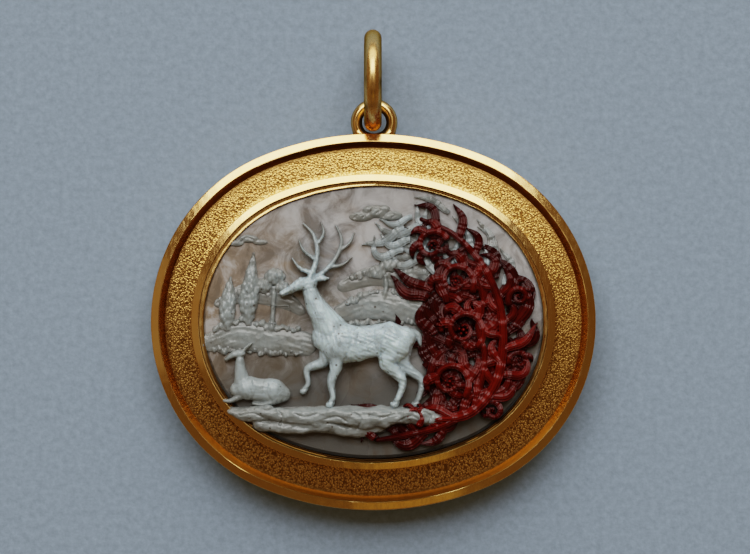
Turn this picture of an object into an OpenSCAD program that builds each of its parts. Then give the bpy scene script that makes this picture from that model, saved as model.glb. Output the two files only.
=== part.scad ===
/* [Frame] */
// Width of the frame's outer oval
frame_w = 52; // [50:0.5:54]
// Height of the frame's outer oval, without the eyelet
frame_h = 44; // [43:0.5:45]
// Width of the bright bevel round the outer rim
rim_bevel_w = 0.87; // [0.7:0.01:1]
// Width of the sloping wall between the rim's bevel and the matted ground
rim_wall_w = 0.75; // [0.6:0.05:0.9]
// Distance from the outer edge to the wall of the inner bevel
border_w = 4.72; // [4.4:0.01:5]
// Width of the bright bevel round the opening
bezel_bevel_w = 0.87; // [0.7:0.01:1]

/* [Heights above the back] */
// Underside of the frame's border
frame_back_z = 3.4; // [3.2:0.1:3.5]
// Matted ground of the border, at the inner bevel
ground_z = 4.7; // [4.6:0.05:4.8]
// Fall of the matted ground from the inner bevel out to the rim's wall
ground_fall = 0.27; // [0.1:0.01:0.3]
// Outer edge of the rim's bevel
rim_edge_z = 5.6; // [5.5:0.05:5.7]
// Crest of the outer rim
rim_crest_z = 5.9; // [5.8:0.05:6]
// Foot of the inner bevel, at the top of its wall
bezel_foot_z = 5.85; // [5.8:0.05:5.9]
// Crest of the inner bevel
bezel_crest_z = 6.1; // [6:0.05:6.2]
// Carved ground of the stone
stone_z = 5.4; // [5.2:0.05:5.5]

/* [Collet] */
// Thickness of the collet's wall
collet_wall = 0.4; // [0.35:0.01:0.5]
// Thickness of the collet's back
collet_back = 0.6; // [0.5:0.05:0.8]
// Width of the collet's shoulder under the frame
shoulder_w = 0.6; // [0.4:0.05:0.7]
// Overlap of the burnished lip on the stone
lip_w = 0.18; // [0.15:0.01:0.3]
// Clearance between neighbouring pieces
gap = 0.03; // [0.02:0.01:0.04]

/* [Eyelet and ring] */
// Radius of the eyelet's wire
eyelet_wire_r = 0.66; // [0.55:0.01:0.7]
// Radius of the eyelet's hole
eyelet_hole_r = 1.41; // [1.35:0.01:1.5]
// Distance of the eyelet's centre above the frame's top edge
eyelet_rise = 1.38; // [1.3:0.01:1.5]
// Distance of the eyelet's centre to the right of the frame's middle
eyelet_x = 0.1; // [-0.1:0.05:0.15]
// Height of the eyelet's centre above the back
eyelet_z = 4.45; // [4.3:0.05:4.5]
// Radius of the suspension ring's wire
ring_wire_r = 1.03; // [0.9:0.01:1.1]
// Outer radius of the suspension ring
ring_outer_r = 5.95; // [5.7:0.01:6.1]
// Distance of the suspension ring to the right of the frame's middle
ring_x = -0.05; // [-0.1:0.05:0.1]
// Clearance between the ring and the eyelet's wire
ring_gap = 0.1; // [0.05:0.01:0.15]

/* [Relief] */
// Sides of the carved limbs
limb_sides = 8; // [6:1:8]
// Sides of the stems and leaves
stem_sides = 5; // [5:1:6]
// Height of the relief, as a share of the carved tables
relief_k = 1; // [0.8:0.05:1.1]

/* [Hidden] */

half_w = frame_w / 2;
half_h = frame_h / 2;
// Four-centred oval on a 5, 12, 13 triangle: the end arcs are centred at (end_x, 0) and (-end_x, 0),
// the long arcs at (0, long_y) and (0, -long_y), and they meet on the line through two centres
oval_unit = (half_w - half_h) / 4;
end_x = 5 * oval_unit;
long_y = 12 * oval_unit;
end_r = half_w - end_x;
long_r = end_r + 13 * oval_unit;

// Insets from the outer oval
bezel_in = border_w + bezel_bevel_w;
collet_in = bezel_in + gap;
stone_in = collet_in + collet_wall + gap;
opening_in = stone_in + lip_w;
collet_crest_z = bezel_crest_z - 0.42;
// Foot of the inner bevel's wall below the border, resting on the collet's shoulder
bezel_drop = 0.3;
// Flat line along the crest of the rim, and the chamfers under the rim, bezel and collet
crest_w = 0.12;
back_chamfer = 0.25;
foot_chamfer = 0.5;
// Thickness of the burnished lip at its edge, and its height above the stone's ground
lip_edge_t = 0.08;
lip_gap = 0.06;
// Bevel along the stone's edge, under the lip, and the plain rim left inside it
stone_bevel = 0.36;
stone_rim = 0.12;

// Eyelet and ring: the ring turns about the middle of the eyelet's outer arc
eyelet_r = eyelet_hole_r + eyelet_wire_r;
eyelet_y = half_h + eyelet_rise;
ring_r = ring_outer_r - ring_wire_r;
swing_y = eyelet_y + eyelet_r;
swing_r = ring_r - ring_wire_r - eyelet_wire_r - ring_gap;
ring_y = swing_y + sqrt(swing_r * swing_r - pow(ring_outer_r - eyelet_z, 2));

// Carved figures on the stone's ground. A limb is a list of sections along its path:
// [x, y, height of its middle, half width, half depth]
// Stag's trunk, neck, head, ear and tail
STAG_BODY = [
    [[3.5, -1.9, 0.9, 1.5, 1.6], [2.3, -2.1, 1.0, 2.2, 2.2], [0.2, -2.2, 0.9, 1.9, 1.95],
     [-2.0, -2.5, 1.0, 2.1, 2.2], [-4.1, -2.4, 1.0, 2.4, 2.3], [-5.5, -1.8, 1.0, 1.7, 1.8]],
    [[-4.5, -1.4, 1.0, 2.0, 1.9], [-5.8, 0.5, 1.3, 1.55, 1.7], [-6.9, 2.4, 1.5, 1.1, 1.35],
     [-7.5, 4.1, 1.6, 0.8, 1.15]],
    [[-7.3, 4.5, 1.6, 0.8, 1.05], [-8.4, 4.4, 1.6, 0.75, 0.95], [-9.6, 3.8, 1.55, 0.5, 0.75],
     [-10.6, 3.3, 1.5, 0.4, 0.55]],
    [[-7.0, 4.8, 1.9, 0.2, 0.3], [-6.2, 5.1, 2.0, 0.4, 0.3], [-5.2, 5.1, 1.8, 0.12, 0.2]],
    [[4.4, -1.0, 0.6, 0.35, 0.9], [5.2, -1.6, 0.6, 0.45, 0.8], [5.5, -2.7, 0.5, 0.2, 0.6]]
];
// Near foreleg, raised foreleg, near hind leg, far hind leg
STAG_LEGS = [
    [[-4.4, -2.8, 1.2, 1.5, 1.9], [-4.3, -4.9, 1.2, 0.85, 1.4], [-4.9, -7.0, 1.1, 0.5, 1.2],
     [-4.7, -8.9, 1.0, 0.36, 1.1], [-5.1, -9.7, 1.0, 0.5, 1.1]],
    [[-5.2, -3.2, 0.8, 1.2, 1.5], [-5.9, -4.7, 0.7, 0.7, 1.1], [-7.7, -5.5, 0.6, 0.46, 0.9],
     [-7.6, -7.2, 0.5, 0.34, 0.8], [-8.2, -8.1, 0.5, 0.42, 0.8]],
    [[2.6, -2.8, 1.2, 1.8, 2.1], [1.8, -4.8, 1.2, 1.15, 1.6], [3.4, -6.8, 1.1, 0.55, 1.2],
     [2.9, -8.9, 1.0, 0.38, 1.1], [2.4, -9.7, 1.0, 0.5, 1.1]],
    [[3.3, -3.0, 0.7, 1.3, 1.5], [3.6, -5.0, 0.6, 0.85, 1.1], [5.6, -6.8, 0.5, 0.5, 0.9],
     [5.3, -8.9, 0.5, 0.36, 0.8], [4.8, -9.7, 0.5, 0.46, 0.8]]
];
// Near beam and its tines, then the far beam and its tines
ANTLERS = [
    [[-7.5, 5.0, 1.6, 0.36, 0.9], [-6.8, 6.6, 1.3, 0.32, 0.8], [-6.5, 8.3, 1.0, 0.3, 0.8],
     [-7.0, 10.2, 0.8, 0.24, 0.6], [-8.2, 11.5, 0.6, 0.13, 0.5]],
    [[-7.2, 5.7, 1.4, 0.26, 0.8], [-8.6, 6.3, 1.2, 0.22, 0.7], [-9.5, 7.5, 0.9, 0.1, 0.5]],
    [[-6.7, 7.3, 1.1, 0.26, 0.8], [-8.1, 8.3, 0.9, 0.2, 0.6], [-8.7, 9.6, 0.7, 0.1, 0.5]],
    [[-6.6, 9.0, 0.9, 0.24, 0.7], [-5.8, 10.3, 0.8, 0.2, 0.6], [-6.1, 11.7, 0.6, 0.1, 0.5]],
    [[-7.1, 5.0, 1.0, 0.34, 0.8], [-5.5, 6.1, 0.8, 0.3, 0.8], [-4.2, 7.8, 0.6, 0.28, 0.6],
     [-3.7, 9.6, 0.5, 0.22, 0.5], [-4.4, 11.3, 0.4, 0.12, 0.4]],
    [[-5.2, 6.4, 0.7, 0.24, 0.7], [-3.6, 6.7, 0.6, 0.2, 0.6], [-2.5, 7.6, 0.4, 0.1, 0.4]],
    [[-4.0, 8.3, 0.5, 0.24, 0.6], [-2.8, 9.2, 0.5, 0.18, 0.5], [-2.2, 10.5, 0.4, 0.1, 0.4]]
];
// Lying doe's trunk, neck, head, ear and folded legs
DOE = [
    [[-15.9, -7.9, 0.4, 0.9, 1.0], [-14.9, -7.7, 0.5, 1.4, 1.3], [-13.2, -7.9, 0.5, 1.3, 1.2],
     [-11.6, -8.0, 0.5, 1.4, 1.3], [-10.6, -8.4, 0.4, 1.0, 1.0]],
    [[-15.3, -7.0, 0.5, 1.0, 1.0], [-15.5, -5.6, 0.6, 0.7, 0.9], [-15.6, -4.3, 0.6, 0.5, 0.8]],
    [[-15.4, -3.7, 0.6, 0.5, 0.8], [-16.2, -3.8, 0.6, 0.44, 0.7], [-17.2, -4.4, 0.5, 0.24, 0.5]],
    [[-15.3, -3.5, 0.7, 0.14, 0.4], [-14.7, -2.9, 0.7, 0.26, 0.4], [-14.1, -2.4, 0.6, 0.08, 0.3]],
    [[-15.4, -8.6, 0.5, 0.45, 0.8], [-16.6, -9.2, 0.5, 0.3, 0.7], [-17.4, -9.2, 0.4, 0.24, 0.6]],
    [[-11.2, -8.8, 0.5, 0.8, 1.0], [-12.6, -9.6, 0.5, 0.34, 0.8], [-14.0, -9.5, 0.5, 0.26, 0.7]]
];
LAND = [
    // Rocky ledge under the animals
    [[-16.6, -10.4, 0.2, 0.5, 0.8], [-14.4, -10.8, 0.4, 0.9, 1.2], [-11.6, -10.7, 0.4, 0.8, 1.5],
     [-8.2, -11.1, 0.5, 1.15, 1.7], [-4.6, -10.8, 0.5, 0.95, 1.9], [-0.8, -11.2, 0.5, 1.3, 2.0],
     [2.8, -10.8, 0.5, 1.0, 1.8], [6.4, -11.1, 0.4, 1.0, 1.6], [8.6, -11.0, 0.3, 0.6, 1.2]],
    [[-13.6, -12.0, 0.2, 0.6, 1.0], [-10.0, -12.3, 0.3, 0.8, 1.2], [-6.0, -12.2, 0.4, 0.7, 1.4],
     [-2.4, -12.7, 0.3, 0.8, 1.2], [1.0, -12.4, 0.3, 0.6, 1.0]],
    // Hills behind
    [[-19.0, -2.4, 0, 1.2, 0.3], [-15.5, -1.6, 0.1, 1.8, 0.45], [-11.6, -2.2, 0.1, 1.7, 0.4],
     [-8.0, -2.6, 0, 1.5, 0.35]],
    [[-3.6, 1.0, 0, 1.2, 0.3], [-0.4, 2.0, 0.1, 1.7, 0.45], [3.4, 1.6, 0.1, 1.8, 0.45],
     [7.4, 0.8, 0, 1.6, 0.35]],
    // Cypresses
    [[-17.0, -0.8, 0.1, 0.4, 0.6], [-17.1, 1.0, 0.1, 1.0, 0.8], [-16.9, 3.0, 0.1, 0.8, 0.7],
     [-16.7, 5.2, 0, 0.15, 0.3]],
    [[-14.6, -0.2, 0.1, 0.4, 0.6], [-14.6, 2.2, 0.1, 1.15, 0.9], [-14.3, 5.0, 0.1, 0.85, 0.8],
     [-14.0, 8.0, 0, 0.15, 0.3]],
    // Trunks of the round trees
    [[-11.9, -0.8, 0.1, 0.36, 0.6], [-11.7, 1.4, 0.1, 0.28, 0.5], [-11.6, 4.0, 0.1, 0.3, 0.5]],
    [[1.2, 2.6, 0.1, 0.32, 0.5], [1.5, 4.0, 0.1, 0.26, 0.45], [1.4, 5.4, 0.1, 0.26, 0.4]],
    [[4.2, 2.4, 0.1, 0.3, 0.5], [4.0, 3.6, 0.1, 0.24, 0.45], [4.3, 4.8, 0.1, 0.24, 0.4]]
];
// Rounded clumps of leaves, cloud and rock: [x, y, half width, half height, depth]
CLUMPS = [
    [-12.9, 4.2, 1.1, 0.9, 0.7], [-11.5, 5.3, 1.3, 1.0, 0.8], [-10.6, 4.0, 0.9, 0.8, 0.7],
    [0.4, 5.8, 1.2, 0.9, 0.6], [1.9, 6.6, 1.3, 0.9, 0.7], [4.2, 5.4, 1.4, 1.1, 0.6],
    [-1.4, 12.3, 1.5, 0.6, 0.4], [0.4, 12.9, 1.3, 0.8, 0.5], [2.0, 12.4, 1.5, 0.6, 0.4],
    [-16.0, 9.2, 0.9, 0.4, 0.3], [-14.6, 9.7, 1.2, 0.5, 0.35],
    [-12.4, -10.0, 1.0, 0.6, 1.3], [-6.6, -11.9, 1.2, 0.8, 1.7], [1.0, -11.8, 1.2, 0.8, 1.8]
];
// Red vine: main stem up the side, foot and hanging branch: rows as for a limb
VINES = [
    [[7.2, -11.4, 0.4, 0.75, 1.6], [11.2, -10.6, 0.7, 0.85, 1.8], [14.2, -7.2, 0.8, 0.8, 1.8],
     [15.1, -2.4, 0.8, 0.7, 1.7], [14.6, 2.4, 0.7, 0.62, 1.5], [12.6, 6.8, 0.5, 0.55, 1.2],
     [9.4, 10.2, 0.4, 0.45, 1.0], [5.6, 12.0, 0.3, 0.3, 0.7]],
    [[10.8, -10.6, 0.7, 0.7, 1.6], [7.6, -12.2, 0.5, 0.6, 1.3], [3.8, -13.2, 0.4, 0.5, 1.0],
     [0.4, -13.8, 0.3, 0.3, 0.8]]
];
// Scrolls: [centre x, centre y, outer radius, start angle, signed turn in degrees, height of its middle]
SCROLLS = [
    [8.9, -6.9, 2.5, -42, 520, 0.9], [10.5, -0.9, 2.6, -48, 520, 1.1], [9.6, 4.8, 2.3, -30, 500, 0.7],
    [6.8, 8.9, 2.0, 28, 480, 0.5], [17.0, 2.9, 1.4, 215, -460, 0.5], [17.0, -4.5, 1.35, 190, -430, 0.6],
    [13.9, -10.4, 1.3, 120, -420, 0.6], [4.6, -11.0, 1.2, -50, 400, 1.2]
];
scroll_steps = 13;
// Radius at a scroll's inner end, as a share of its outer radius
scroll_core = 0.16;
// Half width and half depth of a scroll's stem, half width of a leaf
scroll_w = 0.52;
scroll_h = 1.3;
leaf_w = 0.62;
// Leaves on each scroll, and the length of those on a stem
scroll_leaf_count = 6;
leaf_length = 2.7;
// Height of a leaf's ridge above the middle of what it grows from
leaf_rise = 0.7;
// Radius of the bud in a scroll's eye, as a share of the scroll's, and its rise
bud_k = 0.22;
bud_rise = 0.8;

// Depth that the carved forms reach below the stone's ground
sink = 0.3;

// Catmull-Rom curve through the rows of a table, with n steps between rows
function row_at(t, i) = t[max(0, min(len(t) - 1, i))];
function between(a, b, c, d, f) = 0.5 * (2 * b + (c - a) * f + (2 * a - 5 * b + 4 * c - d) * f * f
    + (3 * b - a - 3 * c + d) * f * f * f);
function smooth(t, n) = concat(
    [for (i = [0:len(t) - 2], k = [0:n - 1])
        between(row_at(t, i - 1), row_at(t, i), row_at(t, i + 1), row_at(t, i + 2), k / n)],
    [t[len(t) - 1]]);
function unit(v) = v / norm(v);
function heading(t, i) = unit([for (k = [0, 1]) row_at(t, i + 1)[k] - row_at(t, i - 1)[k]]);
// Shrunken sections past each end, so that a limb closes in a dome: [reach, size]
DOME = [[0.86, 0.4], [0.5, 0.82]];
function moved(r, d, s) = let (reach = s[0] * r[3])
    [r[0] + d[0] * reach, r[1] + d[1] * reach, r[2], r[3] * s[1], r[4] * s[1]];
function domed(t) = let (n = len(t) - 1) concat(
    [for (s = DOME) moved(t[0], -heading(t, 0), s)], t,
    [for (k = [1:-1:0]) moved(t[n], heading(t, n), DOME[k])]);

// Section across a limb, as [offset, height]: an arch on upright walls that sink into the ground
function section(r, sides) = concat([[r[3], -sink]],
    [for (k = [0:sides - 3]) let (a = 180 * k / (sides - 3)) [r[3] * cos(a), r[2] + r[4] * sin(a)]],
    [[-r[3], -sink]]);

// One limb: sections across its path, closed at both ends
module limb(rows, steps = 2, sides = limb_sides, round_ends = true) {
    path = smooth(rows, steps);
    t = round_ends ? domed(path) : path;
    n = len(t);
    points = [for (i = [0:n - 1]) let (r = t[i], d = heading(t, i)) for (p = section(r, sides))
        [r[0] - d[1] * p[0], r[1] + d[0] * p[0], relief_k * p[1]]];
    walls = [for (i = [0:n - 2], k = [0:sides - 1]) let (m = (k + 1) % sides)
        [i * sides + k, (i + 1) * sides + k, (i + 1) * sides + m, i * sides + m]];
    start = [for (k = [0:sides - 1]) k];
    end = [for (k = [sides - 1:-1:0]) (n - 1) * sides + k];
    polyhedron(points, concat(walls, [start], [end]));
}

// Oval outline, set in from the frame's outer edge
module oval(inset, facets = 180) {
    join_x = end_x + (end_r - inset) * 5 / 13;
    intersection() {
        translate([0, -long_y]) circle(long_r - inset, $fn = 2 * facets);
        translate([0, long_y]) circle(long_r - inset, $fn = 2 * facets);
        square([2 * join_x, frame_h], center = true);
    }
    for (side = [-1, 1]) translate([side * end_x, 0]) circle(end_r - inset, $fn = facets);
}

// A moulding run round the oval; its profile is [inset, height]
module moulding(profile, facets = 180) {
    reach = 4 * oval_unit;
    for (turn = [0, 180]) rotate(turn) {
        intersection() {
            translate([end_x, 0]) rotate_extrude($fn = facets)
                polygon([for (p = profile) [end_r - p[0], p[1]]]);
            linear_extrude(20)
                polygon([[end_x, 0], [end_x + 5 * reach, 12 * reach], [end_x + 15 * reach, 12 * reach],
                         [end_x + 15 * reach, -12 * reach], [end_x + 5 * reach, -12 * reach]]);
        }
        intersection() {
            translate([0, -long_y]) rotate_extrude($fn = 2 * facets)
                polygon([for (p = profile) [long_r - p[0], p[1]]]);
            linear_extrude(20)
                polygon([[0, -long_y], [end_x + 5 * reach, 12 * reach], [-end_x - 5 * reach, 12 * reach]]);
        }
    }
}

module wire_ring(centre_r, wire_r) {
    rotate_extrude($fn = 96) translate([centre_r, 0]) circle(wire_r, $fn = 48);
}

// Border with its bevelled rim, sloping inner wall, matted ground and inner bevel
module border() {
    foot_z = frame_back_z - bezel_drop;
    moulding([
        [0, frame_back_z + back_chamfer], [0, rim_edge_z], [rim_bevel_w, rim_crest_z],
        [rim_bevel_w + crest_w, rim_crest_z], [rim_bevel_w + rim_wall_w, ground_z - ground_fall],
        [border_w, ground_z], [border_w, bezel_foot_z], [bezel_in - crest_w, bezel_crest_z],
        [bezel_in, bezel_crest_z], [bezel_in, foot_z], [border_w, foot_z],
        [border_w - foot_chamfer, frame_back_z], [back_chamfer, frame_back_z]
    ]);
}

module frame() color("goldenrod") {
    border();
    intersection() {
        translate([eyelet_x, eyelet_y, eyelet_z]) wire_ring(eyelet_r, eyelet_wire_r);
        translate([-5, half_h - 0.5, 0]) cube([10, 5, 8]);
    }
}

// Tray with a closed back, a shoulder under the frame and a lip burnished over the stone's edge
module collet() color("darkgoldenrod") {
    shoulder_in = collet_in - shoulder_w;
    shoulder_z = frame_back_z - bezel_drop - gap;
    wall_in = stone_in - gap;
    lip_z = stone_z + lip_gap;
    moulding([
        [shoulder_in + back_chamfer, 0], [shoulder_in, back_chamfer], [shoulder_in, shoulder_z],
        [collet_in, shoulder_z], [collet_in, collet_crest_z - back_chamfer],
        [collet_in + crest_w, collet_crest_z], [wall_in - crest_w, collet_crest_z],
        [opening_in, lip_z + lip_edge_t], [opening_in, lip_z], [wall_in, stone_z - stone_bevel],
        [wall_in, collet_back], [stone_in + 1, collet_back], [stone_in + 1, 0]
    ]);
    linear_extrude(collet_back) oval(stone_in + 0.5);
}

// Agate slab with a bevelled edge
module slab() {
    base_z = collet_back + gap;
    translate([0, 0, base_z]) hull() {
        linear_extrude(stone_z - stone_bevel - base_z) oval(stone_in, 90);
        linear_extrude(stone_z - base_z) oval(stone_in + stone_bevel, 90);
    }
}

// Leaf that starts at a point, sets off along an angle and curls: rows as for a limb,
// with its edges sunk in the ground
function blade(x, y, angle, length, curl, top) = [for (k = [0:3])
    let (f = k / 3, a = angle + curl * f / 2, middle = top * (1 - 0.5 * f) / 2)
    [x + length * f * cos(a), y + length * f * sin(a), middle, leaf_w * sin(35 + 140 * f), middle]];

// Centre line of a scroll, winding in from its start angle
function scroll(s) = [for (k = [0:scroll_steps])
    let (f = k / scroll_steps, r = s[2] * (1 - (1 - scroll_core) * pow(f, 0.8)), a = s[3] + s[4] * f)
    [s[0] + r * cos(a), s[1] + r * sin(a), s[5] * (1 - 0.3 * f), scroll_w * (1 - 0.5 * f),
     scroll_h * (1 - 0.25 * f)]];

module leaf(p, angle, length, curl) {
    limb(blade(p[0], p[1], angle, length, curl, p[2] + leaf_rise), 1, stem_sides, round_ends = false);
}

// Leaves round the outside of a scroll and a bud in its eye
module scroll_leaves(s) {
    t = scroll(s);
    turn = sign(s[4]);
    for (k = [0:scroll_leaf_count - 1])
        leaf(t[k], s[3] + s[4] * k / scroll_steps + turn * 25, s[2] * 0.95, turn * (k % 2 == 0 ? 110 : -50));
    clump([s[0], s[1], s[2] * bud_k, s[2] * bud_k, s[5] + bud_rise]);
}

// Leaves set off by turns to both sides of a stem
module stem_leaves(rows) {
    t = smooth(rows, 2);
    for (i = [1:len(t) - 2]) {
        d = heading(t, i);
        side = i % 2 == 0 ? 1 : -1;
        leaf(t[i], atan2(d[1], d[0]) + 70 * side, leaf_length * (1 - 0.3 * i / len(t)), -70 * side);
    }
}

module vine() {
    for (rows = VINES) {
        limb(rows);
        stem_leaves(rows);
    }
    for (s = SCROLLS) {
        limb(scroll(s), 1, stem_sides);
        scroll_leaves(s);
    }
}

module clump(c) {
    hull() {
        translate([c[0], c[1], 0]) resize([2 * c[2], 2 * c[3], 2 * c[4]]) sphere(1, $fn = 8);
    }
}

module relief() {
    for (t = concat(STAG_BODY, STAG_LEGS)) limb(t);
    for (t = DOE) limb(t, 1);
    for (t = concat(LAND, ANTLERS)) limb(t, 1, stem_sides);
    for (c = CLUMPS) clump(c);
    vine();
}

module cameo_stone() color("lightslategray") {
    slab();
    translate([0, 0, stone_z - 0.02]) intersection() {
        relief();
        translate([0, 0, -1]) linear_extrude(12) oval(stone_in + stone_bevel + stone_rim);
    }
}

// Plain round wire ring, standing on its edge across the eyelet
module suspension_ring() color("goldenrod") {
    translate([ring_x, ring_y, ring_outer_r]) rotate([0, 90, 0]) wire_ring(ring_r, ring_wire_r);
}

frame();
collet();
cameo_stone();
suspension_ring();
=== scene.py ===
import math
import random

import bmesh
import bpy
import numpy as np
from mathutils import Matrix, Vector, kdtree, noise


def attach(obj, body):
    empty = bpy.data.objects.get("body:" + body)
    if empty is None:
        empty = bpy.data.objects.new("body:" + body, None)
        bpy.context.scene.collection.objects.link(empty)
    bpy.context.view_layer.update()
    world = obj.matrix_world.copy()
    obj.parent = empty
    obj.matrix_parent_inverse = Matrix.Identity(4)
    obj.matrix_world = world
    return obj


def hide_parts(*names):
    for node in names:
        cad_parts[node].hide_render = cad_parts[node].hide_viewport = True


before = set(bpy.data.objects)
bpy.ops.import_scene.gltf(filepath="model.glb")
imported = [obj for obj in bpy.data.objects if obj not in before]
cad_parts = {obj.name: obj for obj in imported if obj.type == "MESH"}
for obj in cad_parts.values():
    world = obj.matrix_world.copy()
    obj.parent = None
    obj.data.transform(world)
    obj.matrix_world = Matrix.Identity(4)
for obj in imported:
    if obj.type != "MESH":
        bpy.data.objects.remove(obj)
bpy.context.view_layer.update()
scene = bpy.context.scene
mm = 0.001  # pieces are modelled in millimetres and scaled at the end


# Shader helpers: a wrapped socket with arithmetic, and a graph with one method for every node

class Value:
    def __init__(self, graph, socket):
        self.graph, self.socket = graph, socket

    def __add__(self, other):
        return self.graph.maths("ADD", self, other)

    def __sub__(self, other):
        return self.graph.maths("SUBTRACT", self, other)

    def __rsub__(self, other):
        return self.graph.maths("SUBTRACT", other, self)

    def __mul__(self, other):
        return self.graph.maths("MULTIPLY", self, other)

    __radd__ = __add__
    __rmul__ = __mul__


class Graph:
    def __init__(self, name, tree=None):
        if tree is None:
            self.material = bpy.data.materials.new(name)
            self.material.use_nodes = True
            tree = self.material.node_tree
        self.tree = tree
        self.shader = tree.nodes.get("Principled BSDF")

    def node(self, kind, settings=None, inputs=None, output=0):
        made = self.tree.nodes.new(kind)
        for key, value in (settings or {}).items():
            setattr(made, key, value)
        for key, value in (inputs or {}).items():
            self.feed(made.inputs[key], value)
        return Value(self, made.outputs[output])

    def feed(self, socket, value):
        if isinstance(value, Value):
            self.tree.links.new(value.socket, socket)
        else:
            socket.default_value = value

    def set(self, **sockets):
        for name, value in sockets.items():
            self.feed(self.shader.inputs[name.replace("_", " ")], value)

    def maths(self, operation, a, b):
        return self.node("ShaderNodeMath", {"operation": operation}, {0: a, 1: b})

    def place(self, scale=(1, 1, 1), turn=0.0):
        spot = self.node("ShaderNodeTexCoord", output="Object")
        return self.node("ShaderNodeMapping", None, {
            "Vector": spot, "Scale": scale, "Rotation": (0, 0, math.radians(turn))})

    def along(self, axis, spot):
        return self.node("ShaderNodeSeparateXYZ", None, {0: spot}, axis)

    def clouds(self, spot, size, detail=3.0, roughness=0.55, distortion=0.0):
        return self.node("ShaderNodeTexNoise", None, {
            "Vector": spot, "Scale": 1 / (size * mm), "Detail": detail,
            "Roughness": roughness, "Distortion": distortion})

    def cells(self, spot, size):
        return self.node("ShaderNodeTexVoronoi", None, {"Vector": spot, "Scale": 1 / (size * mm)})

    def remap(self, value, low, high, a=0.0, b=1.0):
        return self.node("ShaderNodeMapRange", {"clamp": True}, {
            "Value": value, "From Min": low, "From Max": high, "To Min": a, "To Max": b})

    def blend(self, factor, a, b):
        # sockets of a colour mix: factor 0, colours 6 and 7, result 2
        return self.node("ShaderNodeMix", {"data_type": "RGBA"}, {0: factor, 6: a, 7: b}, 2)

    def layers(self, tones, first, *more):
        # a tone with others laid over it, each by its share
        colour = tint(*tones[first])
        for share, name in more:
            colour = self.blend(share, colour, tint(*tones[name]))
        return colour

    def stored(self, name):
        return self.node("ShaderNodeAttribute", {"attribute_name": name}, output="Fac")

    def bump(self, height, depth, strength=1.0, normal=None):
        inputs = {"Height": height, "Distance": depth * mm, "Strength": strength}
        if normal is not None:
            inputs["Normal"] = normal
        return self.node("ShaderNodeBump", None, inputs)


def tint(red, green, blue):
    return (red, green, blue, 1.0)


# Mesh helpers

weldDistance = 0.002
supportReach = 0.47  # a support point stays short of its side's middle


def roundCorners(corners, segments=3):
    # corners of an outline as (inset, height, setback of the rounding), with a support point either side
    def support(side, setback):
        return side.normalized() * min(2 * setback, supportReach * side.length)

    outline = []
    for i, (inset, height, setback) in enumerate(corners):
        here = Vector((inset, height))
        if not setback:
            outline.append(here)
            continue
        back = Vector(corners[i - 1][:2]) - here
        ahead = Vector(corners[(i + 1) % len(corners)][:2]) - here
        start, end = here + back.normalized() * setback, here + ahead.normalized() * setback
        outline.append(here + support(back, setback))
        for k in range(segments + 1):
            f = k / segments
            outline.append(start * (1 - f) ** 2 + here * 2 * f * (1 - f) + end * f * f)
        outline.append(here + support(ahead, setback))
    return outline


# the frame's outer oval: four arcs, two centred on each axis
oval = {"endX": 5.0, "endRadius": 21.0, "longY": 12.0, "longRadius": 34.0,
        "endSteps": 250, "longSteps": 136}


def spinOval(bm, outline, closed=True):
    # an outline of insets and heights spun round the four arcs; one that is open has its ends filled
    join = math.atan2(oval["longY"], oval["endX"])
    out = Vector((math.cos(join), -math.sin(join), 0))
    verts = [bm.verts.new(Vector((oval["endX"], 0, p.y)) + out * (oval["endRadius"] - p.x))
             for p in outline]
    edges = [bm.edges.new(pair) for pair in zip(verts, verts[1:])]
    if closed:
        edges.append(bm.edges.new((verts[-1], verts[0])))
    sweep = verts + edges
    for x, y, angle, steps in ((oval["endX"], 0, 2 * join, oval["endSteps"]),
                               (0, -oval["longY"], math.pi - 2 * join, oval["longSteps"]),
                               (-oval["endX"], 0, 2 * join, oval["endSteps"]),
                               (0, oval["longY"], math.pi - 2 * join, oval["longSteps"])):
        swept = bmesh.ops.spin(bm, geom=sweep, cent=(x, y, 0), axis=(0, 0, 1), angle=angle, steps=steps)
        sweep = swept["geom_last"]
    bmesh.ops.remove_doubles(bm, verts=bm.verts[:], dist=weldDistance)
    if not closed:
        bmesh.ops.holes_fill(bm, edges=[e for e in bm.edges if e.is_boundary], sides=0)


def insetAt(x, y):
    # distance in from the outer oval
    x, y = abs(x), abs(y)
    if y * oval["endX"] <= oval["longY"] * (x - oval["endX"]):
        return oval["endRadius"] - math.hypot(x - oval["endX"], y)
    return oval["longRadius"] - math.hypot(x, y + oval["longY"])


def smoothStep(low, high, value):
    f = min(1.0, max(0.0, (value - low) / (high - low)))
    return f * f * (3 - 2 * f)


def wireRing(radius, wire, steps, sides):
    bm = bmesh.new()
    bmesh.ops.create_circle(bm, segments=sides, radius=wire,
                            matrix=Matrix.Translation((radius, 0, 0))
                            @ Matrix.Rotation(math.pi / 2, 4, "X"))
    bmesh.ops.spin(bm, geom=bm.verts[:] + bm.edges[:], cent=(0, 0, 0), axis=(0, 0, 1),
                   angle=2 * math.pi, steps=steps, use_merge=True)
    bmesh.ops.remove_doubles(bm, verts=bm.verts[:], dist=weldDistance)
    return bm


def closeCut(bm, point, normal):
    # cut away what lies behind a plane and close the cut
    everything = bm.verts[:] + bm.edges[:] + bm.faces[:]
    bmesh.ops.bisect_plane(bm, geom=everything, plane_co=point, plane_no=normal, clear_inner=True)
    rim = [e for e in bm.edges if e.is_boundary]
    bmesh.ops.triangle_fill(bm, edges=rim, use_beauty=True, use_dissolve=False)


def meshOf(bm, name):
    mesh = bpy.data.meshes.new(name)
    bm.to_mesh(mesh)
    bm.free()
    return mesh


def addObject(name, data):
    made = bpy.data.objects.new(name, data)
    scene.collection.objects.link(made)
    return made


def shift(bm, x, y, z):
    bmesh.ops.translate(bm, vec=(x, y, z), verts=bm.verts[:])


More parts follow.
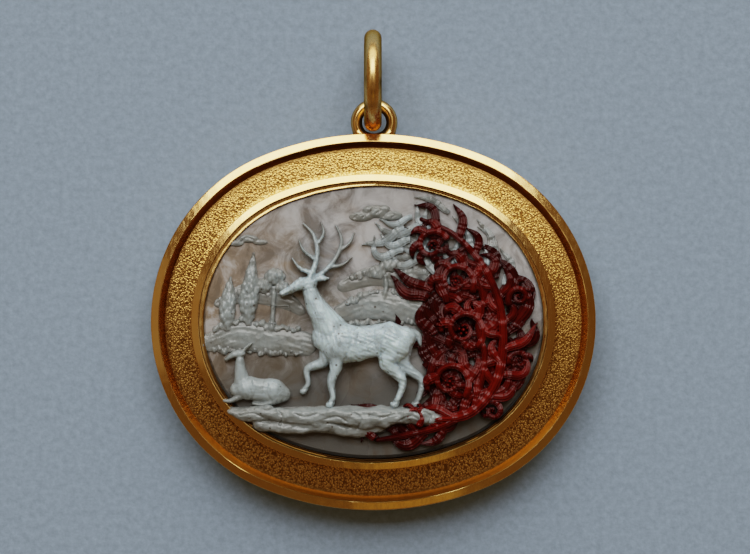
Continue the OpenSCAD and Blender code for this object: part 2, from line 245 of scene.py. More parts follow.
def gather(target, part):
    mesh = meshOf(part, "part")
    target.from_mesh(mesh)
    bpy.data.meshes.remove(mesh)


def store(mesh, name, values):
    mesh.attributes.new(name, "FLOAT", "POINT").data.foreach_set("value", np.asarray(values, np.float32))


def cavityOf(mesh, rounds=3):
    # how hollow (above 0.5) or proud (below 0.5) the surface is at each point
    def read(items, name, kind=np.float32, width=3):
        values = np.empty(len(items) * width, kind)
        items.foreach_get(name, values)
        return values.reshape(-1, width)

    count = len(mesh.vertices)
    points, normals = read(mesh.vertices, "co"), read(mesh.vertex_normals, "vector")
    a, b = read(mesh.edges, "vertices", np.int32, 2).T
    degree = np.maximum(np.bincount(a, minlength=count) + np.bincount(b, minlength=count), 1)

    def spread(values):
        total = np.bincount(a, values[b], count) + np.bincount(b, values[a], count)
        return total / degree

    mean = np.stack([spread(points[:, k]) for k in range(3)], 1)
    hollow = np.einsum("ij,ij->i", mean - points, normals)
    for _ in range(rounds):
        hollow = 0.5 * hollow + 0.5 * spread(hollow)
    return np.clip(0.5 + hollow / (5 * np.std(hollow) + 1e-12), 0, 1)


def finishPiece(bm, name, material, body, nodes, sharp=None, hollows=True):
    bmesh.ops.recalc_face_normals(bm, faces=bm.faces[:])
    bmesh.ops.scale(bm, vec=(mm, mm, mm), verts=bm.verts[:])
    mesh = meshOf(bm, name)
    mesh.shade_smooth()
    if sharp:
        mesh.set_sharp_from_angle(angle=math.radians(sharp))
    if hollows:
        store(mesh, "hollow", cavityOf(mesh))
    mesh.materials.append(material)
    piece = addObject(name, mesh)
    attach(piece, body)
    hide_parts(*nodes)
    mesh.calc_loop_triangles()
    print(name, len(mesh.loop_triangles), "triangles")


# Camera, floor and light

cameraView = {"eye": (0.2, 5.25, 400.0), "focal": 162.0, "sensor": 36.0, "near": 0.01, "far": 20.0}

cameraData = bpy.data.cameras.new("camera")
cameraData.lens, cameraData.sensor_width = cameraView["focal"], cameraView["sensor"]
cameraData.clip_start, cameraData.clip_end = cameraView["near"], cameraView["far"]
scene.camera = addObject("camera", cameraData)
scene.camera.location = Vector(cameraView["eye"]) * mm

scene.view_settings.view_transform = "Filmic"
scene.view_settings.look = "Medium High Contrast"

studio = {
    "floorTone": (0.315, 0.43, 0.58), "floorSize": 3.0, "floorDrop": 0.00001,
    # grain of the floor: size and depth in millimetres, and how far its tone strays
    "grainSize": 0.8, "grainDepth": 0.08, "grainTone": 0.16,
    # direction as azimuth and elevation in degrees, distance, width, height, radiance, colour
    "lights": {
        "windowLight": ((94, 57), 1.0, 0.96, 0.58, 3.4, (1.0, 0.985, 0.96)),
        "lowWindow": ((91, 26), 1.2, 1.9, 0.5, 1.5, (1.0, 0.97, 0.9)),
        "highGlow": ((40, 74), 1.2, 0.4, 0.4, 0.42, (1.0, 0.9, 0.75)),
        "leftGlow": ((180, 50), 1.2, 0.5, 0.7, 0.12, (1.0, 0.75, 0.5)),
        "frontGlow": ((278, 54), 1.2, 0.3, 0.3, 0.18, (1.0, 0.70, 0.22)),
    },
    "skyTone": (0.098, 0.058, 0.024), "horizonTone": (0.15, 0.095, 0.05), "skyStrength": 1.0,
}

floorGraph = Graph("paleFloor")
floorSpot = floorGraph.place()
floorCloud = floorGraph.clouds(floorSpot, studio["grainSize"], 4, 0.7)
floorDents = floorGraph.clouds(floorSpot, studio["grainSize"], 4, 0.6)
darkFloor, lightFloor = [tint(*(share * c for c in studio["floorTone"]))
                         for share in (1 - studio["grainTone"], 1 + studio["grainTone"])]
floorGraph.set(Base_Color=floorGraph.blend(floorGraph.remap(floorCloud, 0.3, 0.7), darkFloor, lightFloor),
               Roughness=0.75, Normal=floorGraph.bump(floorDents, studio["grainDepth"], 0.7))
floorMesh = bmesh.new()
bmesh.ops.create_grid(floorMesh, x_segments=4, y_segments=4, size=studio["floorSize"] / 2,
                      matrix=Matrix.Translation((0, 0, -studio["floorDrop"])))
floor = addObject("floor", meshOf(floorMesh, "floor"))
floor.data.materials.append(floorGraph.material)

for name, ((azimuth, elevation), distance, width, height, radiance, colour) in studio["lights"].items():
    azimuth, elevation = math.radians(azimuth), math.radians(elevation)
    toLight = Vector((math.cos(azimuth) * math.cos(elevation), math.sin(azimuth) * math.cos(elevation),
                      math.sin(elevation)))
    lightData = bpy.data.lights.new(name, "AREA")
    lightData.shape, lightData.size, lightData.size_y = "RECTANGLE", width, height
    lightData.energy, lightData.color = radiance * math.pi * width * height, colour
    light = addObject(name, lightData)
    light.location = toLight * distance
    light.rotation_euler = toLight.to_track_quat("Z", "Y").to_euler()

world = bpy.data.worlds.new("studio")
scene.world = world
world.use_nodes = True
sky = Graph("studio", world.node_tree)
rise = sky.along("Z", sky.node("ShaderNodeTexCoord", output="Generated"))
skyColour = sky.layers(studio, "horizonTone", (sky.remap(rise, 0.1, 0.8), "skyTone"))
backdrop = world.node_tree.nodes["Background"].inputs
sky.feed(backdrop["Color"], skyColour)
sky.feed(backdrop["Strength"], studio["skyStrength"])
print("camera, floor and light set")


# Gold

# the darker tones for hollows, for the gaps between pebbles, and for the walls, wire sides and collet lip
# are painted shade
goldTones = {
    "polished": (1.0, 0.675, 0.28), "worn": (0.97, 0.58, 0.21), "hollowShade": (0.42, 0.20, 0.05),
    "matted": (0.90, 0.53, 0.18), "pitShade": (0.36, 0.18, 0.04),
    "wall": (0.12, 0.075, 0.02), "colletShade": (0.12, 0.062, 0.015), "edge": (0.62, 0.42, 0.24),
}

# sizes and depths of the gold's marks, and what each adds to its roughness
goldMarks = {
    "hazeSize": 6.0, "scuffSize": 0.22, "scuffStretch": (1, 0.12, 1), "scuffTurn": 35, "scuffDepth": 0.003,
    "lumpSize": 0.34, "lumpDepth": 0.016, "pebbleSize": 0.21, "pebbleDepth": 0.019,
    "scuffRough": 0.14, "mattedRough": 0.12, "frameShadedRough": 0.36, "wallRough": 0.06,
}


def goldFinish(name, roughness, matted=False, shadeTone="wall"):
    # polished gold; stored weights say where it is matted and where painted shade darkens and roughens it
    gold = Graph(name)
    spot = gold.place()
    haze = gold.clouds(spot, goldMarks["hazeSize"], 4, 0.6)
    scratched = gold.place(goldMarks["scuffStretch"], goldMarks["scuffTurn"])
    scuff = gold.clouds(scratched, goldMarks["scuffSize"], 3, 0.7)
    mask, wall = gold.stored("matted"), gold.stored("wall")
    # painted shade: the gold darkens in the hollows
    colour = gold.layers(goldTones, "polished", (gold.remap(haze, 0.35, 0.7), "worn"),
                         (gold.remap(gold.stored("hollow"), 0.55, 0.9) * 0.7, "hollowShade"))
    rough = gold.remap(scuff, 0.45, 0.75, roughness, roughness + goldMarks["scuffRough"])
    fine = gold.bump(scuff, goldMarks["scuffDepth"], 0.5 - 0.5 * mask)
    if matted:
        pebbles = gold.cells(spot, goldMarks["pebbleSize"])
        # painted shade: the gaps between pebbles are darkened
        field = gold.layers(goldTones, "matted", (gold.remap(pebbles, 0.34, 0.68), "pitShade"))
        colour = gold.blend(mask, colour, field)
        rough = rough + mask * (roughness + goldMarks["mattedRough"] - rough)
        fine = gold.bump(gold.clouds(spot, goldMarks["lumpSize"], 2), goldMarks["lumpDepth"], mask, fine)
        fine = gold.bump(gold.remap(pebbles, 0.0, 0.75, 1.0, 0.0), goldMarks["pebbleDepth"], mask, fine)
    # painted shade: the stored weight darkens the colour towards a shade tone
    colour = gold.blend(wall, colour, tint(*goldTones[shadeTone]))
    rough = rough + wall * goldMarks["frameShadedRough" if matted else "wallRough"]
    gold.set(Base_Color=colour, Metallic=1.0, Roughness=rough, Specular_Tint=tint(*goldTones["edge"]),
             Normal=fine)
    return gold.material


goldFrame = {
    # outline over the rim, the field and the lip as (inset, height, setback of the rounding)
    "rim": [(0.25, 3.4, 0), (0.0, 3.65, 0.1), (0.0, 5.62, 0.06), (0.87, 5.9, 0.02), (0.97, 5.9, 0.015),
            (1.30, 5.18, 0.0)],
    "field": {"outer": 1.60, "inner": 4.66, "rows": 6, "fall": 0.27, "height": 4.7},
    "lip": [(4.72, 4.73, 0), (4.73, 5.85, 0.04), (5.50, 6.1, 0.02), (5.59, 6.09, 0.012),
            (5.59, 3.1, 0.05), (4.72, 3.1, 0.1), (4.22, 3.4, 0)],
    # the matting reaches a little past the field and fades over these widths
    "fieldMargin": 0.05, "outerFade": 0.1, "innerFade": 0.06,
    # insets from which the rim's wall and the lip carry painted shade, and the lowest heights of walls and
    # bevels
    "wallInset": 0.93, "lipInset": 5.495, "topSide": 4.2, "bevels": 4.8,
    # unevenness of the bevels: size, height, layer of the noise
    "waves": [(3.5, 0.03, 0.0), (1.0, 0.008, 4.0)],
    # small knocks on the rim: x, y, radius, depth
    "knocks": [(-21.77, 11.68, 0.20, 0.08), (-21.2, 12.4, 0.15, 0.04), (20.9, 12.85, 0.2, 0.06),
               (19.16, -14.16, 0.16, 0.05), (-12.5, -19.1, 0.18, 0.04), (5.2, 21.3, 0.15, 0.03)],
}

eyelet = {
    "x": 0.1, "y": 23.38, "z": 4.45, "radius": 2.07, "wire": 0.66, "steps": 144, "sides": 32, "cutY": 21.5,
    "solder": 0.16, "solderY": 22.0, "solderWidth": 0.28,
    # painted shade inside and down the outer side, from and to as shares of the wire
    "insideShade": (0.15, 0.6), "outsideShade": (0.65, 1.0), "outsideShare": 0.7,
}


def makeEyelet():
    form = eyelet
    wire = wireRing(form["radius"], form["wire"], form["steps"], form["sides"])
    shift(wire, 0, form["y"], form["z"])
    closeCut(wire, (0, form["cutY"], 0), (0, 1, 0))
    bmesh.ops.recalc_face_normals(wire, faces=wire.faces[:])
    for vert in wire.verts:
        # solder swells the wire where it meets the rim
        swell = form["solder"] * math.exp(-((vert.co.y - form["solderY"]) / form["solderWidth"]) ** 2)
        middle = Vector((vert.co.x, vert.co.y - form["y"], 0)).normalized() * form["radius"]
        spoke = vert.co - Vector((middle.x, middle.y + form["y"], form["z"]))
        vert.co += spoke * swell
    shift(wire, form["x"], 0, 0)
    return wire


def makeGoldFrame():
    form, field = goldFrame, goldFrame["field"]
    corners = list(form["rim"])
    for k in range(field["rows"] + 1):
        f = k / field["rows"]
        corners.append((field["outer"] + (field["inner"] - field["outer"]) * f,
                        field["height"] - field["fall"] * (1 - f), 0))
    bm = bmesh.new()
    spinOval(bm, roundCorners(corners + form["lip"]))
    first, last = field["outer"] - form["fieldMargin"], field["inner"] + form["fieldMargin"]
    faded = first + form["outerFade"]
    matted = bm.verts.layers.float.new("matted")
    wall = bm.verts.layers.float.new("wall")
    for vert in bm.verts:
        x, y, z = vert.co
        inset = insetAt(x, y)
        # painted shade on the walls, full at the top and bottom and fading away at the left and right
        side = 1 - (x * x / (x * x + y * y)) ** 2
        if first < inset < last and z > form["topSide"]:
            entry = smoothStep(first, faded, inset)
            vert[matted] = entry * (1 - smoothStep(last - form["innerFade"], last, inset))
            # painted shade where the field meets the rim's wall
            vert[wall] = (1 - entry) * side
        elif form["wallInset"] < inset < faded and z > form["topSide"] or inset > form["lipInset"]:
            vert[wall] = side
        elif z > form["bevels"]:
            vert.co.z += sum(height * noise.noise(Vector((x / size, y / size, layer)))
                             for size, height, layer in form["waves"])
            for cx, cy, radius, depth in form["knocks"]:
                away = math.hypot(x - cx, y - cy) / radius
                if away < 2.5:
                    vert.co.z -= depth * math.exp(-away * away)
    gather(bm, makeEyelet())
    wall = bm.verts.layers.float["wall"]
    for vert in bm.verts:
        # painted shade on the eyelet's wire, inside and down its outer side
        if insetAt(vert.co.x, vert.co.y) < -0.05:
            out = math.hypot(vert.co.x - eyelet["x"], vert.co.y - eyelet["y"]) - eyelet["radius"]
            out /= eyelet["wire"]
            vert[wall] = max(smoothStep(*eyelet["insideShade"], -out),
                             eyelet["outsideShare"] * smoothStep(*eyelet["outsideShade"], out))
    finishPiece(bm, "goldFrame", goldFinish("frameGold", 0.13, matted=True), "pendant",
                ["frame"], sharp=50)


makeGoldFrame()

colletForm = {
    "outline": [(5.02, 0.25, 0.05), (5.02, 3.07, 0.05), (5.62, 3.07, 0), (5.62, 5.63, 0.02), (5.8, 5.62, 0),
                (5.84, 5.6, 0), (6.0, 5.68, 0.015), (6.05, 5.68, 0.012), (6.11, 5.48, 0.012),
                (6.11, 5.42, 0), (5.98, 5.04, 0), (5.98, 0.6, 0)],
    "backInset": 5.27, "lipZ": 5,
    # painted shade towards the bottom, from and to as the sine of the place's angle, and down the inner
    # side
    "bottomShade": (-0.6, 0.5), "innerInset": (6.0, 6.03), "innerShare": 0.75,
    "grainSize": 0.9, "grainHeight": 0.015,
    # wander of the lip: insets over which it starts, then a crest's angle, crests in the round, size
    "wanderInset": (5.72, 5.95), "wander": [(130, 1, 0.11), (160, 2, 0.07), (0, 3, 0.04)],
    "tremorSize": 1.5, "tremor": 0.04,
}


def makeCollet():
    form = colletForm
    # an open outline from the middle of the tray's floor round to the middle of the back
    outline = [Vector((form["backInset"], 0.0))] + roundCorners(form["outline"])
    bm = bmesh.new()
    spinOval(bm, outline, closed=False)
    wall = bm.verts.layers.float.new("wall")
    for vert in bm.verts:
        if vert.co.z <= form["lipZ"]:
            continue
        x, y = vert.co.x, vert.co.y
        # painted shade, darker towards the bottom and on the lip's inner side
        low = 1 - smoothStep(*form["bottomShade"], y / math.hypot(x, y))
        inner = form["innerShare"] * smoothStep(*form["innerInset"], insetAt(x, y))
        vert[wall] = max(low, inner)
        size = form["grainSize"]
        vert.co.z += form["grainHeight"] * noise.noise(Vector((x / size, y / size, 3.0)))
        share = smoothStep(*form["wanderInset"], insetAt(x, y))
        if share:
            turn = math.atan2(y, x)
            reach = sum(size * math.cos(waves * (turn - math.radians(crest)))
                        for crest, waves, size in form["wander"])
            size = form["tremorSize"]
            reach += form["tremor"] * noise.noise(Vector((x / size, y / size, 5.0)))
            vert.co -= Vector((x, y, 0)).normalized() * reach * share
    finishPiece(bm, "colletLip", goldFinish("colletGold", 0.24, shadeTone="colletShade"), "pendant",
                ["collet"], sharp=50)


makeCollet()

ringForm = {
    "radius": 4.92, "wire": 1.03, "steps": 200, "sides": 56, "x": -0.05, "y": 28.197, "z": 5.95,
    "wobble": 0.0012, "wobbleSize": 1.3,
    # painted shade on the wire's sides, from and to as shares of the wire, and in patches on the lower half
    "sideShade": (0.45, 0.95), "sideShare": 0.68, "patchSize": 1.1, "patchShare": 0.6,
}


def makeRing():
    form = ringForm
    bm = wireRing(form["radius"], form["wire"], form["steps"], form["sides"])
    bmesh.ops.rotate(bm, cent=(0, 0, 0), matrix=Matrix.Rotation(math.pi / 2, 3, "Y"), verts=bm.verts[:])
    wall = bm.verts.layers.float.new("wall")
    for vert in bm.verts:
        # painted shade on the wire's sides and in patches on the lower half
        patch = form["patchShare"] * noise.noise(vert.co / form["patchSize"]) if vert.co.y < 0 else 0
        side = form["sideShare"] * smoothStep(*form["sideShade"], abs(vert.co.x) / form["wire"])
        vert[wall] = min(1, max(0, side + patch))
        vert.co *= 1 - form["wobble"] * (1 + noise.noise(vert.co / form["wobbleSize"]))
    shift(bm, form["x"], form["y"], form["z"])
    finishPiece(bm, "suspensionRing", goldFinish("ringGold", 0.24), "ring",
                ["suspension_ring"])


makeRing()
print("gold parts made")


# Stone: sections along a path are (x, y, top, half width), heights above the carved ground

stoneForm = {
    "groundZ": 5.38, "sink": 0.35, "cutZ": -0.08,
    # grooves and dabs end at this many widths, and stay above this height
    "markReach": 2.4, "markFloor": 0.15,
    "voxel": 0.095, "sides": 18, "smoothing": 2,
    "slab": [(6.41, 5.4, 0.0), (6.05, 5.04, 0.0), (6.05, 0.63, 0.0)],
}


def smoothRows(rows, steps):
    def rowAt(i):
        return rows[max(0, min(len(rows) - 1, i))]

    path = []
    for i in range(len(rows) - 1):
        sides = [rowAt(i + k) for k in (-1, 0, 1, 2)]
        for k in range(steps):
            f = k / steps
            path.append([0.5 * (2 * b + (c - a) * f + (2 * a - 5 * b + 4 * c - d) * f * f
                                + (3 * b - a - 3 * c + d) * f ** 3) for a, b, c, d in zip(*sides)])
    path.append(list(rows[-1]))
    return path


def angleOf(along):
    return math.degrees(math.atan2(along.y, along.x))


def headingAt(path, i):
    a, b = path[max(0, i - 1)], path[min(len(path) - 1, i + 1)]
    return Vector((b[0] - a[0], b[1] - a[1], 0)).normalized()


def arch(sides, crown=2.2, foot=5.0):
    # a section as (across, up), round above and upright below
    points = []
    for k in range(sides):
        turn = 2 * math.pi * (k + 0.5) / sides
        c, s = math.cos(turn), math.sin(turn)
        power = 2 / (crown if s > 0 else foot)
        points.append((math.copysign(abs(c) ** power, c), math.copysign(abs(s) ** power, s)))
    return points


# a section with hollows along it, for stems, scrolls and leaves
fluted = [(1.0, -1.0), (1.0, 0.2), (0.92, 0.55), (0.75, 0.78), (0.58, 0.66), (0.42, 0.86), (0.22, 1.0)]
fluted += [(0.0, 0.86)] + [(-across, up) for across, up in reversed(fluted)]


def sectionPlace(row, along):
    x, y, top, half = row
    middle, rise = (top - stoneForm["sink"]) / 2, (top + stoneForm["sink"]) / 2
    half = max(half, 0.02)
    return Matrix(((-along.y * half, 0, along.x, x), (along.x * half, 0, along.y, y),
                   (0, rise, 0, middle), (0, 0, 0, 1)))


def domed(path):
    # smaller sections past each end
    def beyond(row, along, reach, size):
        return [row[0] + along.x * reach * row[3], row[1] + along.y * reach * row[3],
                row[2] * (0.4 + 0.6 * size), row[3] * size]

    steps = ((0.985, 0.17), (0.87, 0.5), (0.5, 0.87))
    back, ahead = -headingAt(path, 0), headingAt(path, len(path) - 1)
    return ([beyond(path[0], back, *s) for s in steps] + path
            + [beyond(path[-1], ahead, *s) for s in reversed(steps)])


def addLimb(target, rows, steps=5, section=None, ends=True):
    section = section or arch(stoneForm["sides"])
    path = smoothRows(rows, steps) if steps > 1 else [list(r) for r in rows]
    if ends:
        path = domed(path)
    part = bmesh.new()
    strand = part.verts.layers.float.new("strand")
    place = sectionPlace(path[0], headingAt(path, 0))
    face = part.faces.new([part.verts.new(place @ Vector((a, u, 0))) for a, u in section])
    for vert, (a, u) in zip(face.verts, section):
        vert[strand] = a
    for i in range(1, len(path)):
        following = sectionPlace(path[i], headingAt(path, i))
        grown = bmesh.ops.extrude_face_region(part, geom=[face])
        face = next(g for g in grown["geom"] if isinstance(g, bmesh.types.BMFace))
        back = place.inverted()
        for vert in face.verts:
            vert[strand] = (back @ vert.co).x
        bmesh.ops.transform(part, matrix=following @ back, verts=face.verts[:])
        place = following
    bmesh.ops.recalc_face_normals(part, faces=part.faces[:])
    gather(target, part)


def addClump(target, x, y, halfX, halfY, top):
    part = bmesh.new()
    place = Matrix.Translation((x, y, 0)) @ Matrix.Diagonal((halfX, halfY, top, 1))
    bmesh.ops.create_icosphere(part, subdivisions=3, radius=1.0, matrix=place)
    gather(target, part)


def grow(target, limbs=(), clumps=(), section=None):
    for rows in limbs:
        addLimb(target, rows, section=section)
    for clump in clumps:
        addClump(target, *clump)
    return target


def fuse(bm):
    # overlapping forms become one carved skin
    holder = addObject("forms", meshOf(bm, "forms"))
    skin = holder.modifiers.new("skin", "REMESH")
    skin.mode, skin.voxel_size = "VOXEL", stoneForm["voxel"]
    graph = bpy.context.evaluated_depsgraph_get()
    fused = bpy.data.meshes.new_from_object(holder.evaluated_get(graph))
    bpy.data.objects.remove(holder)
    bm = bmesh.new()
    bm.from_mesh(fused)
    for _ in range(stoneForm["smoothing"]):
        bmesh.ops.smooth_vert(bm, verts=bm.verts[:], factor=0.5, use_axis_x=True, use_axis_y=True,
                              use_axis_z=True)
    bm.normal_update()
    return bm


def sampled(lines, steps=12):
    # points along smooth lines, each with its heading and its distance from the line's start
    points = []
    for number, line in enumerate(lines):
        path = smoothRows([list(p[:2]) for p in line], steps)
        gone = 0.0
        for i, p in enumerate(path):
            if i:
                gone += math.dist(p, path[i - 1])
            points.append((Vector((p[0], p[1], 0)), headingAt(path, i), gone, number))
    return points


def treeOf(points):
    tree = kdtree.KDTree(len(points))
    for i, point in enumerate(points):
        tree.insert(point[0], i)
    tree.balance()
    return tree


def engrave(bm, lines, width, depth):
    # a groove, or with a depth below zero a ridge, along each line
    tree = treeOf(sampled(lines))
    for vert in bm.verts:
        away = tree.find(Vector((vert.co.x, vert.co.y, 0)))[2] / width
        if away < stoneForm["markReach"] and vert.co.z > stoneForm["markFloor"]:
            vert.co -= vert.normal * depth * math.exp(-away * away)
    bm.normal_update()


def dab(bm, dabs):
    # round swellings and hollows: x, y, radius, height
    for x, y, radius, height in dabs:
        for vert in bm.verts:
            away = math.hypot(vert.co.x - x, vert.co.y - y) / radius
            if away < stoneForm["markReach"] and vert.co.z > stoneForm["markFloor"]:
                vert.co.z += height * math.exp(-away * away)
    bm.normal_update()


def comb(bm, paths, spacing, length, depth, floorZ):
    # strands of hair, bark or grass that follow the paths
    points = sampled(paths)
    tree = treeOf(points)
    for vert in bm.verts:
        if vert.co.z < floorZ:
            continue
        flat = Vector((vert.co.x, vert.co.y, 0))
        point, along, gone, number = points[tree.find(flat)[1]]
        offset = flat - point
        s = gone + offset.dot(along)
        t = along.x * offset.y - along.y * offset.x
        # each path has its own layer of noise, and its strands drift a little sideways
        layer = number * 7.3 + vert.co.z
        strand = noise.noise(Vector((s / length, (t + 0.07 * s) / spacing, layer)))
        vert.co += vert.normal * strand * depth
    bm.normal_update()


def roughen(bm, size, depth, floorZ, stretch, scallop=False):
    for vert in bm.verts:
        if vert.co.z < floorZ:
            continue
        spot = Vector([c / (size * k) for c, k in zip(vert.co, stretch)])
        if scallop:
            push = 0.5 - noise.voronoi(spot)[0][0]
        else:
            push = noise.noise(spot)
        vert.co += vert.normal * push * depth
    bm.normal_update()


def finishStone(bm, name, material, cut=True):
    # lift the form onto the slab, cut off first just under the carved ground
    if cut:
        closeCut(bm, (0, 0, stoneForm["cutZ"]), (0, 0, 1))
    shift(bm, 0, 0, stoneForm["groundZ"])
    finishPiece(bm, name, material, "pendant", ["cameo_stone"])


# the shade tone in hollows, the stain tone where it darkens creases, and the red's darkest tone are painted
# shade; the red's bright tone is partly a painted highlight
agateTones = {
    "grey": (0.30, 0.29, 0.275), "tan": (0.36, 0.25, 0.145), "blue": (0.33, 0.35, 0.385),
    "dark": (0.128, 0.130, 0.126), "milk": (0.50, 0.505, 0.52), "mist": (0.66, 0.68, 0.71),
    "smoke": (0.11, 0.085, 0.06), "clear": (0.20, 0.225, 0.22), "thin": (0.25, 0.26, 0.25),
    "white": (0.67, 0.88, 1.0), "shade": (0.25, 0.31, 0.345), "stainAndShade": (0.07, 0.05, 0.035),
    "red": (0.09, 0.004, 0.003), "emberHighlight": (0.23, 0.010, 0.004), "wineShade": (0.018, 0.0015, 0.002),
}


# roughness from and to, index of refraction, coat and its roughness, subsurface weight, and its depths in
# metres for red, green and blue
agateGloss = {
    "ground": (0.2, 0.34, 1.54, 0.4, 0.08, 0.3, (0.0009, 0.0008, 0.0007)),
    "white": (0.16, 0.3, 1.54, 0.25, 0.06, 0.35, (0.0007, 0.0007, 0.0006)),
    "red": (0.17, 0.3, 1.4, 0.03, 0.05, 0.05, (0.0008, 0.0003, 0.0002)),
}


def finishAgate(agate, colour, patches, fine, gloss):
    low, high, bend, coat, coatRough, glow, depths = agateGloss[gloss]
    agate.set(Base_Color=colour, Roughness=agate.remap(patches, 0.3, 0.7, low, high), IOR=bend,
              Coat_Weight=coat, Coat_Roughness=coatRough, Subsurface_Weight=glow, Subsurface_Radius=depths,
              Subsurface_Scale=1.0, Normal=fine)
    return agate.material


def agateGround():
    # washes of tone over the slab; up and across are in metres from its middle
    agate = Graph("agateGround")
    spot = agate.place()
    up, across = agate.along("Y", spot), agate.along("X", spot)
    wash = agate.clouds(spot, 9, 4, 0.6, 0.6)
    warm = agate.clouds(agate.place((0.7, 1.3, 1), 20), 6, 3, 0.6, 1.0)
    mist = agate.clouds(spot, 3.4, 5, 0.64, 0.9)
    colour = agate.layers(
        agateTones, "grey", (agate.remap(wash, 0.38, 0.62), "blue"),
        (agate.remap(warm, 0.5, 0.72) * 0.8, "tan"),
        (agate.remap(up + across * 0.3 + (wash - 0.5) * 0.02, 0.003, 0.013) * 0.7, "milk"),
        (agate.remap(across + (warm - 0.5) * 0.02, -0.008, -0.019) * 0.75, "tan"),
        (agate.remap(up + (warm - 0.5) * 0.006, 0.003, -0.009), "dark"),
        (agate.remap(mist, 0.48, 0.62) * agate.remap(up, -0.008, 0.001) * 0.75, "mist"),
        (agate.remap(mist, 0.49, 0.36) * 0.6, "smoke"))
    waves = agate.bump(agate.clouds(spot, 1.6, 3, 0.5), 0.12, 0.5)
    return finishAgate(agate, colour, wash, waves, "ground")


def reliefHeight(agate, spot, low, high):
    # from 0 to 1 between two heights above the carved ground
    ground = stoneForm["groundZ"]
    return agate.remap(agate.along("Z", spot), (ground + low) * mm, (ground + high) * mm)


def agateWhite(name, low, high, strength=1.0, texture=0.0):
    # white where the relief is high, and thin and grey where it is low
    agate = Graph(name)
    spot = agate.place()
    height = reliefHeight(agate, spot, low, high)
    hollow = agate.stored("hollow")
    cloud = agate.clouds(spot, 1.8, 4, 0.6, 0.4)
    veil = agate.clouds(spot, 2.3, 5, 0.68, 1.2)
    specks = agate.remap(agate.cells(spot, 0.8), 0.2, 0.12)
    sparse = agate.remap(agate.clouds(spot, 1.3, 2), 0.52, 0.6)
    # painted shade: the creases are darkened with the stain tone, beside the real stain specks
    creaseShade = agate.remap(hollow + (agate.clouds(spot, 0.5, 2) - 0.5) * 0.7, 0.6, 0.72)
    colour = agate.layers(
        agateTones, "thin", (agate.remap(height + (cloud - 0.5) * 1.0, 0.1, 0.9) * strength, "white"),
        (agate.remap(veil, 0.48, 0.66) * 0.55, "clear"),
        (agate.remap(hollow, 0.52, 0.85) * 0.8, "shade"),
        (specks * sparse * 0.8, "stainAndShade"),
        (creaseShade * agate.remap(veil, 0.42, 0.52) * 0.75, "stainAndShade"))
    fine = agate.bump(agate.clouds(spot, 0.35, 2), 0.015, 0.5)
    if texture:
        fine = agate.bump(agate.cells(spot, 0.75), texture, 0.8, fine)
    return finishAgate(agate, colour, cloud, fine, "white")


def agateRed(low, high):
    # red, with a painted highlight where the relief is high, mixed with random clouds, and painted shade,
    # almost black, where it is low or hollow
    agate = Graph("agateRed")
    spot = agate.place()
    height = reliefHeight(agate, spot, low, high)
    cloud = agate.clouds(spot, 1.5, 4, 0.6, 0.5)
    colour = agate.layers(
        agateTones, "red", (agate.remap(height + (cloud - 0.5) * 1.6, 0.3, 1.0), "emberHighlight"),
        (agate.remap(height, 0.6, 0.05) * 0.9, "wineShade"),
        (agate.remap(agate.stored("hollow"), 0.5, 0.72) * 0.9, "wineShade"))
    # fine ridges along the stems and leaves
    ridges = agate.maths("SINE", agate.stored("strand") * 13 + cloud * 3, 0)
    fine = agate.bump(agate.clouds(spot, 0.3, 2), 0.012, 0.5, agate.bump(ridges, 0.05, 0.8))
    return finishAgate(agate, colour, cloud, fine, "red")


def makeGround():
    bm = bmesh.new()
    spinOval(bm, roundCorners(stoneForm["slab"]), closed=False)
    finishPiece(bm, "stoneGround", agateGround(), "pendant", ["cameo_stone"],
                sharp=30, hollows=False)


makeGround()

